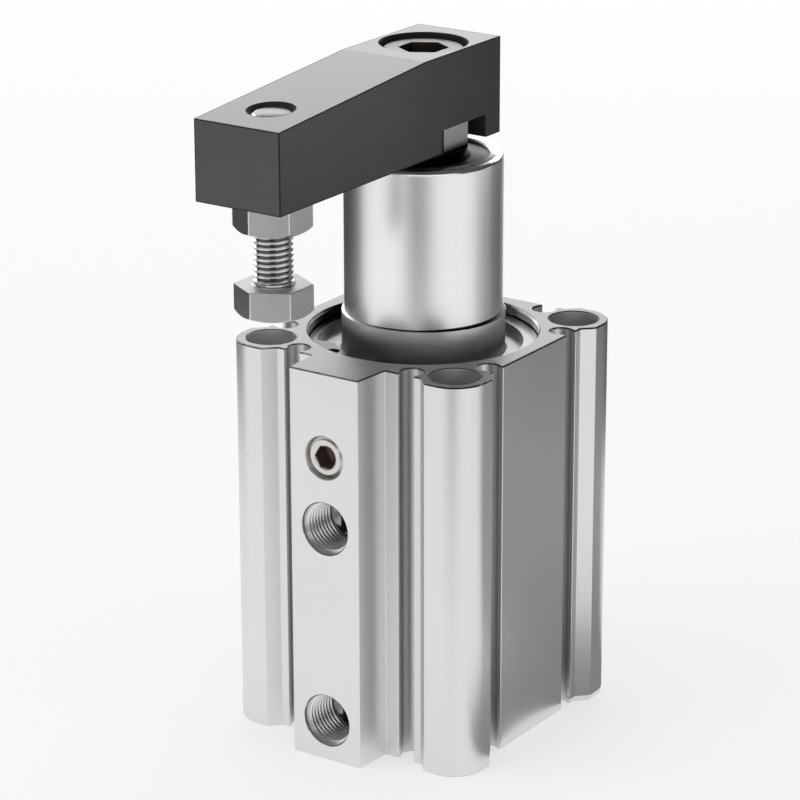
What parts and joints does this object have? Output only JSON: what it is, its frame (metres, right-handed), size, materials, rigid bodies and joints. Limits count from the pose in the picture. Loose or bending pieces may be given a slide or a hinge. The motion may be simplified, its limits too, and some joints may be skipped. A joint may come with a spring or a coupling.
{
  "type": "swing clamp cylinder",
  "caption": "Compact air cylinder with a square grooved aluminium body whose rod lifts and swings a clamp arm with an adjustable clamp bolt.",
  "frame": {"origin": "on the rod axis at the flat bottom face of the body", "axes": "+Z is the way the rod extends, -Y the side with the ports, over which the arm stands when clamped, +X the side that the arm swings to"},
  "size_m": [0.0526, 0.0821, 0.1279],
  "materials": {
    "body_aluminium": "satin, bead-blasted and clear anodised",
    "cover_aluminium": "fine turned, clear anodised",
    "polished_cover": "turned and polished",
    "seal_rubber": "moulded black nitrile",
    "bumper_urethane": "moulded polyurethane",
    "ring_steel": "spring steel, dark phosphate",
    "bush_bronze": "bearing bronze, bored",
    "scraper_rubber": "moulded black rubber, smooth",
    "pin_steel": "hardened and ground",
    "nickel_screw": "nickel plated, slightly warm",
    "wear_resin": "filled bearing resin",
    "magnet_ferrite": "bonded ferrite",
    "rod_chrome": "hard chrome, ground",
    "arm_black": "milled steel, black oxide",
    "screw_steel": "plated steel, satin",
    "bolt_steel": "plated steel, satin"
  },
  "bodies": {
    "barrel": {"cylinder_tube": "body_aluminium", "head_cover": "cover_aluminium", "head_gasket": "seal_rubber", "head_retaining_ring": "ring_steel", "head_bumper": "bumper_urethane", "rod_cover": "polished_cover", "lower_cover_gasket": "seal_rubber", "upper_cover_gasket": "seal_rubber", "rod_retaining_ring": "ring_steel", "rod_bumper": "bumper_urethane", "rod_bush": "bush_bronze", "rod_seal": "seal_rubber", "scraper": "scraper_rubber", "guide_pin": "pin_steel", "guide_pin_screw": "nickel_screw"},
    "piston_rings": {"piston_seal": "seal_rubber", "wear_ring": "wear_resin"},
    "rod_and_arm": {"piston": "cover_aluminium", "magnet": "magnet_ferrite", "piston_nut": "bolt_steel", "piston_gasket": "seal_rubber", "piston_rod": "rod_chrome", "clamp_arm": "arm_black", "arm_screw": "screw_steel", "clamp_bolt": "bolt_steel", "lock_nut": "bolt_steel"}
  },
  "joints": [
    {"name": "rod_stroke", "type": "slide", "parent": "barrel", "child": "piston_rings", "axis": [0, 0, 1], "range_m": [0, 0.025]},
    {"name": "arm_swing", "type": "hinge", "parent": "piston_rings", "child": "rod_and_arm", "pos_m": [0, 0, 0], "axis": [0, 0, 1], "range_deg": [0, 90]}
  ],
  "couplings": [
    {"joint": "arm_swing", "follows": "rod_stroke", "rad_per_m": 62.832}
  ]
}
